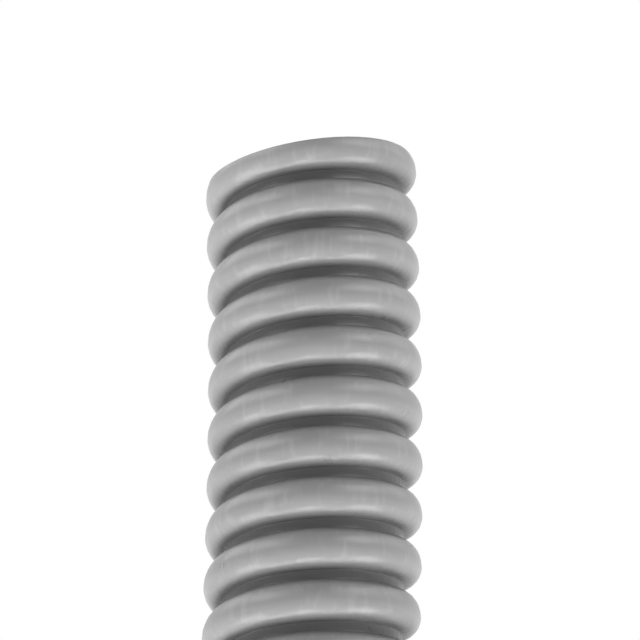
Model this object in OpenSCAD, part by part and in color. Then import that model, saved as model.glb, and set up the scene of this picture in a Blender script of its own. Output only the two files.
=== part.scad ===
// Convoluted tubing: one thin wall, formed into a continuous right-hand helical rib.
// The tube stands on its square end at Z = 0, with its axis on Z and its slanting trimmed end at the top.

/* [Tube] */
// Outside diameter over the ribs
outer_d = 32; // [24:0.5:50]
// Thickness of the wall, the same in the ribs and in the valleys
wall_t = 1; // [0.6:0.1:1.2]
// Length along the axis, from the square end to the middle of the trimmed end
tube_len = 305; // [60:1:400]

/* [Convolution] */
// Distance along the axis from one rib to the next
rib_pitch = 7.75; // [7:0.05:12]
// Height of the ribs over the valleys
rib_h = 2.7; // [1:0.1:3.5]
// Width of the valley floor between two ribs
valley_w = 1.5; // [0.4:0.1:2]
// How far a rib's crest lies below the middle of the rib
rib_lean = 0.4; // [0:0.05:0.6]
// Angle round the tube, from +X, at which a rib's crest runs out of the square end
rib_start = 249; // [0:1:359]

/* [Trimmed end] */
// Slope of the trimmed end
trim_slope = 8.5; // [0:0.5:10]
// Angle round the tube, from +X, of the slope's high side
trim_dir = 25; // [-180:1:180]

/* [Hidden] */

// Straight steps from foot to foot over a rib
rib_steps = 4;
// Most triangles on the wall, which sets how many sides the tube can have
triangle_limit = 12800;
// Points closer than this to an end are left out, so that no facet is a sliver
least_step = 0.05;

turns = tube_len / rib_pitch;
points_a_turn = 2 * (rib_steps + 1);
sides = 2 * floor(triangle_limit / (4 * turns * points_a_turn));
side_rise = rib_pitch / sides;
valley_r = outer_d / 2 - rib_h;
rib_half_w = (rib_pitch - valley_w) / 2;

// One rib in section from foot to foot, as [distance up the axis from the crest, radius].
// It is a quarter of an ellipse below the crest, and a slightly wider quarter above it.
function rib_section(foot_r, half_w) =
    [for (k = [0:rib_steps])
        let (a = 180 * k / rib_steps, w = a > 90 ? half_w + rib_lean : half_w - rib_lean)
        [-w * cos(a), foot_r + rib_h * sin(a)]];

outside = rib_section(valley_r, rib_half_w);
inside = rib_section(valley_r - wall_t, rib_half_w - wall_t);

// How far up past the square end, and past the trimmed end, a point lies
past_square = function (p) p.z;
past_trim = function (p)
    p.z - tube_len - tan(trim_slope) * (p.x * cos(trim_dir) + p.y * sin(trim_dir));

// Point j up one side of the tube, where j runs through rib after rib and each side starts side_rise higher
function helix_point(section, side, j) =
    let (n = len(section), up = floor(j / n), p = section[j - n * up], a = 360 * side / sides)
    [p[1] * cos(a), p[1] * sin(a), p[0] + rib_pitch * (up + (a - rib_start) / 360)];

// The point at which a line of points passes an end
function crossing(line, past) =
    [for (k = [1:len(line) - 1])
        let (before = past(line[k - 1]), after = past(line[k]))
        if (before < 0 && after >= 0)
            line[k - 1] + (line[k] - line[k - 1]) * before / (before - after)][0];

// The points up one side, from the square end to the trimmed end
function side_line(section, side) =
    let (
        n = len(section),
        long = [for (j = [-2 * n:(turns + 3) * n]) helix_point(section, side, j)]
    )
    concat(
        [crossing(long, past_square)],
        [for (p = long) if (past_square(p) > least_step && past_trim(p) < -least_step) p],
        [crossing(long, past_trim)]
    );

// Triangles between two neighbouring lines: each climbs the line whose next point is further down the helix
function strip(a, b, first_a, first_b) =
    let (
        last_a = len(a) - 1,
        last_b = len(b) - 1,
        climbs_a = function (i, k)
            k == last_b || (i < last_a && a[i + 1].z + side_rise < b[k + 1].z + least_step / 2)
    )
    [for (
        i = 0, k = 0, on_a = climbs_a(0, 0);
        i < last_a || k < last_b;
        i = on_a ? i + 1 : i, k = on_a ? k : k + 1, on_a = climbs_a(i, k)
    )
        on_a
            ? [first_a + i, first_a + i + 1, first_b + k]
            : [first_a + i, first_b + k + 1, first_b + k]];

function turned(faces) = [for (f = faces) [f[2], f[1], f[0]]];

module convoluted_tube() {
    outer_lines = [for (s = [0:sides - 1]) side_line(outside, s)];
    inner_lines = [for (s = [0:sides - 1]) side_line(inside, s)];
    lines = concat(outer_lines, inner_lines);
    first = [for (k = 0, at = 0; k < len(lines); at = at + len(lines[k]), k = k + 1) at];
    last = [for (k = [0:len(lines) - 1]) first[k] + len(lines[k]) - 1];
    pairs = [for (s = [0:sides - 1]) [s, (s + 1) % sides]];

    outer_wall = [for (p = pairs)
        each strip(lines[p[0]], lines[p[1]], first[p[0]], first[p[1]])];
    inner_wall = [for (p = pairs)
        each strip(lines[sides + p[0]], lines[sides + p[1]], first[sides + p[0]], first[sides + p[1]])];
    square_end = [for (p = pairs) [first[p[0]], first[p[1]], first[sides + p[1]], first[sides + p[0]]]];
    trimmed_end = [for (p = pairs) [last[p[0]], last[sides + p[0]], last[sides + p[1]], last[p[1]]]];

    color("gray")
        polyhedron(
            points = [for (line = lines) each line],
            faces = concat(outer_wall, turned(inner_wall), square_end, trimmed_end)
        );
}

convoluted_tube();
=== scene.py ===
# %% [markdown]
# # A length of convoluted tubing
# The part is one piece of stock: a thin grey plastic wall, formed into a single rib that winds round
# the tube from end to end like a screw thread. CAD has the tube at its real size, with flat facets.
# Here the same shape is swept again with smooth curves and dressed in its plastic, and the camera,
# floor and lamps are set up.

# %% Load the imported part
import math

import bmesh
import bpy
from mathutils import Matrix, Vector


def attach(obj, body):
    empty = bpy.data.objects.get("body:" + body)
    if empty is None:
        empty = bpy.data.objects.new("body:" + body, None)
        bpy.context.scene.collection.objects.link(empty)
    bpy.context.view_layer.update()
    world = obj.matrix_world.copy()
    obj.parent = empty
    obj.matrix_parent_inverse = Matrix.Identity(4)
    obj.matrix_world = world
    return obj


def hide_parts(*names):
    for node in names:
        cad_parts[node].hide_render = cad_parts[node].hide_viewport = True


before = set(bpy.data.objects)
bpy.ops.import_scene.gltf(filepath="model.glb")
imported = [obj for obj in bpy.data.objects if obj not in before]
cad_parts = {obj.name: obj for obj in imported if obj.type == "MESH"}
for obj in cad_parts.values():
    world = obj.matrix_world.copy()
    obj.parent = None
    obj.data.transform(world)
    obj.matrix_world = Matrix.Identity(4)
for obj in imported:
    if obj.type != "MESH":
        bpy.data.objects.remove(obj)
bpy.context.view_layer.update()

# %% [markdown]
# ## Sizes
# The sizes are those of the CAD model, in metres. Only the rounding at the foot of each rib is new: on
# the real tube the wall flows from rib to valley without a corner, which is too fine for the CAD
# model's facets.

# %% Sizes
MM = 0.001
OUTER_R = 16 * MM
WALL_T = 1 * MM
TUBE_LEN = 305 * MM
RIB_PITCH = 7.75 * MM
RIB_H = 2.7 * MM
VALLEY_W = 1.5 * MM
RIB_LEAN = 0.4 * MM
RIB_START = math.radians(249)
TRIM_SLOPE = math.radians(8.5)
TRIM_DIR = math.radians(25)
FOOT_ROUND = 0.1 * MM

VALLEY_R = OUTER_R - RIB_H
LOWER_W = (RIB_PITCH - VALLEY_W) / 2 - RIB_LEAN
UPPER_W = (RIB_PITCH - VALLEY_W) / 2 + RIB_LEAN
print("ribs:", round(TUBE_LEN / RIB_PITCH, 1), "valley radius:", round(VALLEY_R / MM, 2), "mm")

# %% [markdown]
# ## The rib in section
# A rib is close to half an ellipse, with its crest a little below the middle, so that its underside is
# steeper than its upper side. One vertex at the lower foot is spun over the crest into a half circle.
# Two scales along the axis make the part below the crest a quarter of an ellipse and the part above it
# a wider one. Half a valley floor is added at each foot, so that the line is one pitch long, and a
# bevel rounds the two feet.

# %% Draw one pitch of the wall
ARC_STEPS = 14
FOOT_STEPS = 3

bm = bmesh.new()
lower_foot = bm.verts.new((VALLEY_R, 0, -RIB_H))
bmesh.ops.spin(
    bm, geom=[lower_foot], cent=(VALLEY_R, 0, 0), axis=(0, -1, 0), angle=math.pi, steps=ARC_STEPS
)
below_crest = [v for v in bm.verts if v.co.z < 0]
above_crest = [v for v in bm.verts if v.co.z > 0]
bmesh.ops.scale(bm, vec=(1, 1, LOWER_W / RIB_H), verts=below_crest)
bmesh.ops.scale(bm, vec=(1, 1, UPPER_W / RIB_H), verts=above_crest)
feet = sorted((v for v in bm.verts if len(v.link_edges) == 1), key=lambda v: v.co.z)
for foot, outward in zip(feet, (-1, 1)):
    floor_end = bm.verts.new((VALLEY_R, 0, foot.co.z + outward * VALLEY_W / 2))
    bm.edges.new((foot, floor_end))
bmesh.ops.bevel(
    bm, geom=feet, affect="VERTICES", offset=FOOT_ROUND, offset_type="OFFSET",
    segments=FOOT_STEPS, profile=0.5, material=-1,
)
print("section:", len(bm.verts), "points over one pitch")

# %% [markdown]
# ## One turn, and the whole length
# A spin that also climbs makes a helix: after one full turn the section has risen by one pitch. A spin
# of forty turns would be slow, because each step looks through all the faces made before. So one turn
# is spun, copies of it are stacked a pitch apart, and the seams between them are merged.

# %% Spin one turn and stack it
SIDES = 52
SPARE_TURNS = 2
SEAM_GAP = 0.02 * MM

bmesh.ops.rotate(bm, cent=(0, 0, 0), matrix=Matrix.Rotation(RIB_START, 3, "Z"), verts=bm.verts[:])
bmesh.ops.translate(bm, vec=(0, 0, -SPARE_TURNS * RIB_PITCH), verts=bm.verts[:])
bmesh.ops.spin(
    bm, geom=bm.verts[:] + bm.edges[:], cent=(0, 0, 0), axis=(0, 0, 1),
    dvec=(0, 0, RIB_PITCH / SIDES), angle=2 * math.pi, steps=SIDES, use_merge=False,
)
one_turn = bm.verts[:] + bm.edges[:] + bm.faces[:]
stack = math.ceil(TUBE_LEN / RIB_PITCH) + 2 * SPARE_TURNS
for k in range(1, stack):
    copied = bmesh.ops.duplicate(bm, geom=one_turn)["geom"]
    copied_verts = [g for g in copied if isinstance(g, bmesh.types.BMVert)]
    bmesh.ops.translate(bm, vec=(0, 0, k * RIB_PITCH), verts=copied_verts)
bmesh.ops.remove_doubles(bm, verts=bm.verts[:], dist=SEAM_GAP)
bmesh.ops.recalc_face_normals(bm, faces=bm.faces[:])
print("skin:", stack, "turns,", len(bm.faces), "faces")

# %% [markdown]
# ## The wall and its two cut ends
# Solidify gives the skin its thickness inwards, so that the inside is wavy too, as on the real tube.
# The spare turns are then cut away: squarely at the foot, and at a slant across the top rib, as the
# photograph shows. Each cut leaves an outer and an inner edge in one plane, and a triangle fill closes
# the ring between them. The rims stay sharp.

# %% Thicken and trim
CUT_SNAP = 0.001 * MM
ON_PLANE = 0.01 * MM


def cut_end(bm, point, outward):
    """Cuts the tube off at a plane, closes the wall there and keeps the rim sharp."""
    everything = bm.verts[:] + bm.edges[:] + bm.faces[:]
    bmesh.ops.bisect_plane(
        bm, geom=everything, dist=CUT_SNAP, plane_co=point, plane_no=outward, clear_outer=True
    )
    open_edges = [e for e in bm.edges if e.is_boundary]
    rim = [e for e in open_edges if abs((e.verts[0].co - point).dot(outward)) < ON_PLANE]
    cap = bmesh.ops.triangle_fill(bm, edges=rim, use_beauty=True, normal=outward)["geom"]
    for edge in rim:
        edge.smooth = False
    return [g for g in cap if isinstance(g, bmesh.types.BMFace)]


bmesh.ops.solidify(bm, geom=bm.faces[:], thickness=WALL_T)
for face in bm.faces:
    face.smooth = True
trim_rise = math.tan(TRIM_SLOPE)
trim_up = Vector((-trim_rise * math.cos(TRIM_DIR), -trim_rise * math.sin(TRIM_DIR), 1)).normalized()
square_cap = cut_end(bm, Vector((0, 0, 0)), Vector((0, 0, -1)))
trimmed_cap = cut_end(bm, Vector((0, 0, TUBE_LEN)), trim_up)
for face in square_cap + trimmed_cap:
    face.smooth = False
gaps = sum(not e.is_manifold for e in bm.edges)
triangles = sum(len(f.verts) - 2 for f in bm.faces)
print("tube:", triangles, "triangles,", gaps, "open edges,", round(bm.calc_volume() * 1e6, 2), "cm3")

# %% [markdown]
# ## A slight wave
# Tubing like this is flexible and keeps a little of every bend that it has had. In the photograph its
# axis wanders by about half a millimetre, which also tilts the upper ribs by a degree or so. A Curve
# modifier could bend the mesh, but for so little a move of the vertices is simpler: each level is
# shifted sideways and turned to stay square to the axis. The wave fades out towards the foot, which
# stands flat and in its place.

# %% Let the axis wander
WAVE_SHIFT = -0.168 * MM
WAVE_SWING = 0.384 * MM
WAVE_LENGTH = 107.4 * MM
WAVE_CREST = 265.9 * MM
WAVE_FADE = 120 * MM


def axis_shift(height):
    """How far the axis lies to the right of a straight one, at a height over the floor."""
    phase = 2 * math.pi * (height - WAVE_CREST) / WAVE_LENGTH
    share = min(max(height / WAVE_FADE, 0), 1)
    fade = share * share * (3 - 2 * share)
    return fade * (WAVE_SHIFT + WAVE_SWING * math.cos(phase))


def axis_lean(height):
    """The slope of the axis, from its shift half a millimetre above and below."""
    return (axis_shift(height + 0.5 * MM) - axis_shift(height - 0.5 * MM)) / MM


for vert in bm.verts:
    height = vert.co.z
    vert.co.z -= axis_lean(height) * vert.co.x
    vert.co.x += axis_shift(height)
print("axis at the top:", round(axis_shift(TUBE_LEN) / MM, 2), "mm to the right")

# %% [markdown]
# ## One object for the one piece of stock
# The tube has no joints and no second part, so a single object stands for the single CAD node and
# rides on the body that carries it. The object stays at the origin, with its place in its mesh, so
# that patterns which read Object coordinates sit where they should after an export.

# %% Put the tube in the scene
tube_mesh = bpy.data.meshes.new("tube_wall")
bm.to_mesh(tube_mesh)
bm.free()
tube = bpy.data.objects.new("tube_wall", tube_mesh)
bpy.context.scene.collection.objects.link(tube)
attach(tube, "root")
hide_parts("convoluted_tube")
print("piece:", tube.name, "stands for convoluted_tube")

# %% [markdown]
# ## Shader maths as Python
# The plastic's pattern needs a good deal of arithmetic: distances, rib heights, masks. Placing each
# Math node by hand hides the sense of it. This small class wraps a socket, so that an ordinary
# expression such as 1 - mask adds the Math nodes itself. One method adds any other kind of node.

# %% A socket that can be calculated with
class Wire:
    """A node's output. Python's operators on it add Math nodes to the same node tree."""

    def __init__(self, socket):
        self.socket = socket

    def node(self, kind, settings, inputs, output=0):
        """Adds a node: first its settings, then the values of its sockets or the wires into them."""
        tree = self.socket.id_data
        added = tree.nodes.new("ShaderNode" + kind)
        for name, value in settings.items():
            setattr(added, name, value)
        for key, value in inputs.items():
            if isinstance(value, Wire):
                tree.links.new(value.socket, added.inputs[key])
            else:
                added.inputs[key].default_value = value
        return Wire(added.outputs[output])

    def other(self, output):
        """Another output of the node that this one comes from."""
        return Wire(self.socket.node.outputs[output])

    def into(self, socket):
        """Links the wire to a socket of the same node tree."""
        self.socket.id_data.links.new(self.socket, socket)

    def math(self, operation, *values):
        return self.node("Math", {"operation": operation}, dict(enumerate(values)))

    def __add__(self, value):
        return self.math("ADD", self, value)

    __radd__ = __add__

    def __sub__(self, value):
        return self.math("SUBTRACT", self, value)

    def __rsub__(self, value):
        return self.math("SUBTRACT", value, self)

    def __mul__(self, value):
        return self.math("MULTIPLY", self, value)

    def __truediv__(self, value):
        return self.math("DIVIDE", self, value)

    def __pow__(self, value):
        return self.math("POWER", self, value)

    def rise(self, low, high):
        """0 up to low, 1 from high on, and a smooth rise between them."""
        limits = {"Value": self, "From Min": low, "From Max": high}
        return self.node("MapRange", {"interpolation_type": "SMOOTHSTEP"}, limits)


# %% [markdown]
# ## Where a point lies on the wall
# The scuff marks on such a tube follow its use: they run along the axis, where ribs have been drawn over
# something hard. The valleys get painted shade, a darker grey. So the pattern needs to know a point's
# height over the valley floor. That follows from its distance from the axis, which Object coordinates
# give directly.

# %% Coordinates for the plastic
plastic = bpy.data.materials.new("grey_plastic")
plastic.use_nodes = True
shader = plastic.node_tree.nodes["Principled BSDF"]
place = Wire(plastic.node_tree.nodes.new("ShaderNodeTexCoord").outputs["Object"])
east = place.node("SeparateXYZ", {}, {"Vector": place})
north = east.other("Y")
from_axis = (east * east + north * north) ** 0.5
rib_height = (from_axis - VALLEY_R) / RIB_H
# Mask for the painted shade in the valleys: 0 on the valley floor and low flanks, 1 near the crest
out_of_painted_shade = rib_height.rise(0.25, 0.95)
print("plastic:", len(plastic.node_tree.nodes), "nodes for the place on the wall")

# %% [markdown]
# ## The colour of the plastic
# The photograph shows a neutral mid-grey that is never quite even: a soft mottling, faint pale scuffs
# along the axis on the ribs, finer lines round them, and darker valleys. The first three are noises
# that are stretched one way. A Mapping node does the stretching, with a high scale across the marks
# and a low one along them. The darker valleys are painted shade: a lower grey mixed in towards the
# valley floor.

# %% Colour
RIB_GREY = 0.27
# The valley grey is painted shade: it is darker than the rib grey because little light reaches the
# valleys
VALLEY_SHADE_GREY = 0.145
MOTTLE_TONE = 0.14
SCUFF_TONE = 0.10
LINE_TONE = 0.06
# A Mix node has sockets for each type of data: its colours are inputs 6 and 7 and output 2
COLOUR_A = 6
COLOUR_B = 7
MIXED_COLOUR = 2


def stretched_noise(across, along, detail=2.0):
    """Noise on the tube, with its own scale across the tube and along its axis."""
    spread = place.node("Mapping", {}, {"Vector": place, "Scale": (across, across, along)})
    settings = {"Vector": spread, "Scale": 1.0, "Detail": detail, "Roughness": 0.5}
    return place.node("TexNoise", {}, settings)


def grey(level):
    return (level, level, level, 1)


mottle = stretched_noise(across=170, along=300, detail=3.0) - 0.5
scuffs = stretched_noise(across=850, along=160, detail=1.0).rise(0.52, 0.72) * rib_height.rise(0.4, 0.9)
lines = stretched_noise(across=120, along=2400) - 0.5
tone = 1 + mottle * MOTTLE_TONE + scuffs * SCUFF_TONE + lines * LINE_TONE
# This mix paints shade into the valleys: valley grey low down, rib grey over the ribs
wall_colour_with_painted_shade = place.node(
    "Mix", {"data_type": "RGBA"},
    {"Factor": out_of_painted_shade, COLOUR_A: grey(VALLEY_SHADE_GREY), COLOUR_B: grey(RIB_GREY)},
    output=MIXED_COLOUR,
)
toned_colour_with_painted_shade = place.node("VectorMath", {"operation": "SCALE"}, {"Vector": wall_colour_with_painted_shade, "Scale": tone})
toned_colour_with_painted_shade.into(shader.inputs["Base Color"])
print("colour:", RIB_GREY, "on the ribs,", VALLEY_SHADE_GREY, "in the valleys")

# %% [markdown]
# ## Sheen and relief
# The skin is satin: not glossy, but smooth enough for a soft bright line along each rib. It is a little
# duller in the scuffs and in some of the mottled patches. A Bump node adds what is too fine to model: a
# slight orange peel, and the short wrinkles that run along the axis over the flanks of the ribs.

# %% Sheen and relief
SATIN = 0.30
MOTTLE_DULL = 0.12
SCUFF_DULL = 0.10
PEEL_SHARE = 0.3
BUMP_STRENGTH = 0.25
BUMP_DEPTH = 0.3 * MM
PLASTIC_IOR = 1.45

roughness = SATIN + mottle * MOTTLE_DULL + scuffs * SCUFF_DULL
peel = stretched_noise(across=900, along=900)
wrinkles = stretched_noise(across=1100, along=200, detail=1.0) * (1 - rib_height.rise(0.55, 1.0))
relief = peel * PEEL_SHARE + wrinkles
bump = place.node("Bump", {}, {"Strength": BUMP_STRENGTH, "Distance": BUMP_DEPTH, "Height": relief})
roughness.into(shader.inputs["Roughness"])
bump.into(shader.inputs["Normal"])
shader.inputs["IOR"].default_value = PLASTIC_IOR
tube_mesh.materials.append(plastic)
print("plastic:", len(plastic.node_tree.nodes), "nodes in all")

# %% [markdown]
# ## Floor
# A plain pale floor, large enough to fill the picture in views from above, with the tube's shadow on it.

# %% Floor
FLOOR_HALF = 3
FLOOR_GREY = 0.85
FLOOR_ROUGHNESS = 0.9

floor_bm = bmesh.new()
bmesh.ops.create_grid(floor_bm, x_segments=1, y_segments=1, size=FLOOR_HALF)
floor_mesh = bpy.data.meshes.new("floor")
floor_bm.to_mesh(floor_mesh)
floor_bm.free()
floor = bpy.data.objects.new("floor", floor_mesh)
bpy.context.scene.collection.objects.link(floor)
pale = bpy.data.materials.new("pale_floor")
pale.use_nodes = True
pale_shader = pale.node_tree.nodes["Principled BSDF"]
pale_shader.inputs["Base Color"].default_value = grey(FLOOR_GREY)
pale_shader.inputs["Roughness"].default_value = FLOOR_ROUGHNESS
floor_mesh.materials.append(pale)
print("floor:", 2 * FLOOR_HALF, "m wide")

# %% [markdown]
# ## World
# The photograph's background is white. A world that bright would light the tube flatly from all round,
# so the Light Path node gives it two strengths: white for the camera, and for rays that a reflection or
# a clear material sends out, and only a faint fill for everything else.

# %% World
FILL = 0.02

world = bpy.data.worlds.new("studio")
bpy.context.scene.world = world
world.use_nodes = True
backdrop = world.node_tree.nodes["Background"]
backdrop.inputs["Color"].default_value = grey(1)
seen = Wire(world.node_tree.nodes.new("ShaderNodeLightPath").outputs["Is Camera Ray"])
shows = seen.math("MAXIMUM", seen, seen.other("Is Glossy Ray"))
shows = seen.math("MAXIMUM", shows, seen.other("Is Transmission Ray"))
strength = FILL + shows * (1 - FILL)
strength.into(backdrop.inputs["Strength"])
print("world: white where it shows, and a fill of", FILL)

# %% [markdown]
# ## Softboxes
# Softboxes stand above the tube, a large and a small one on either side. They show as pale patches on
# the two sides of every rib, and the ribs stay darker in the middle, where none is mirrored. An area
# lamp's power is set from the radiance that its face should have, which is simpler to judge against the
# white background.

# %% Softboxes
LAMP_AIM = Vector((0, 0, 0.25))
LAMP_DIST = 1.0
BOX_HEIGHT = 0.4
BOX_ELEVATION = 42


def lamp_at(name, kind, azimuth, elevation):
    """Adds a lamp that faces the tube. Azimuth 0 is in front, and 90 to the right."""
    data = bpy.data.lights.new(name, kind)
    lamp = bpy.data.objects.new(name, data)
    bpy.context.scene.collection.objects.link(lamp)
    side = math.radians(azimuth)
    up = math.radians(elevation)
    away = Vector((math.cos(up) * math.sin(side), -math.cos(up) * math.cos(side), math.sin(up)))
    lamp.location = LAMP_AIM + LAMP_DIST * away
    lamp.rotation_euler = away.to_track_quat("Z", "Y").to_euler()
    lamp.visible_camera = False
    return data


for name, azimuth, box_width, radiance in (
    ("left_softbox", -85, 1.2, 2.42),
    ("right_softbox", 85, 1.2, 1.47),
    ("front_left_softbox", -50, 0.6, 1.79),
    ("front_right_softbox", 50, 0.6, 2.86),
):
    box = lamp_at(name, "AREA", azimuth, BOX_ELEVATION)
    box.shape = "RECTANGLE"
    box.size = box_width
    box.size_y = BOX_HEIGHT
    box.energy = radiance * math.pi * box_width * BOX_HEIGHT
    print(name, round(box.energy, 2), "W")

# %% [markdown]
# ## Light from the table and from behind
# In the photograph the brightest line lies low on every rib and the undersides are lit, so light comes
# up from below, as it does from a light table. Broad suns do that. They shine through the floor, which
# casts no shadow of its own. One more sun, above and behind the tube, lights the floor and the tube's
# back. Multiple importance sampling is off: with it, part of a sun's light would be looked for along
# bounced rays, which the floor stops, and the bright lines would be dimmer.

# %% Light from the table and from behind
for name, azimuth, elevation, width, level in (
    ("table_back_left", -120, -66, 20, 1.61),
    ("table_back_right", 120, -66, 20, 1.03),
    ("table_left", -75, -42, 30, 1.27),
    ("table_right", 75, -42, 30, 1.51),
    ("table_front_left", -60, -66, 20, 0.88),
    ("table_front_right", 60, -66, 20, 0.57),
    ("table_front", 0, -62, 16, 0.92),
    ("back_light", 180, 70, 60, 1.6),
):
    sun = lamp_at(name, "SUN", azimuth, elevation)
    sun.angle = math.radians(width)
    sun.energy = level
    sun.cycles.use_multiple_importance_sampling = False
    print(name, level, "W/m2")
floor.visible_shadow = False

# %% [markdown]
# ## Camera
# The camera stands in front of the tube and looks up at its top by 20 degrees. Its distance, lens and
# aim come from fitting a tube with a helical rib to the outlines in the photograph. Lengths are given
# in shares of the tube's radius, which is about 107 pixels in the picture.

# %% Camera
FRAME_PX = 640
SENSOR_MM = 36
CAMERA_RISE = math.radians(20.4)
RADIUS_PX = 106.51
DIST_IN_RADII = 39.7428
AIM_RIGHT = 0.059 * OUTER_R
AIM_BELOW_TOP = 1.487 * OUTER_R

aim = Vector((AIM_RIGHT, 0, TUBE_LEN - AIM_BELOW_TOP))
look = Vector((0, math.cos(CAMERA_RISE), math.sin(CAMERA_RISE)))
camera_data = bpy.data.cameras.new("camera")
camera_data.sensor_fit = "HORIZONTAL"
camera_data.sensor_width = SENSOR_MM
camera_data.lens = SENSOR_MM * RADIUS_PX * DIST_IN_RADII / FRAME_PX
camera = bpy.data.objects.new("camera", camera_data)
bpy.context.scene.collection.objects.link(camera)
camera.location = aim - DIST_IN_RADII * OUTER_R * look
camera.rotation_euler = (math.pi / 2 + CAMERA_RISE, 0, 0)
bpy.context.scene.camera = camera
bpy.context.scene.view_settings.view_transform = "Standard"
print("camera at", [round(c / MM, 1) for c in camera.location], "mm, lens", round(camera_data.lens, 1))
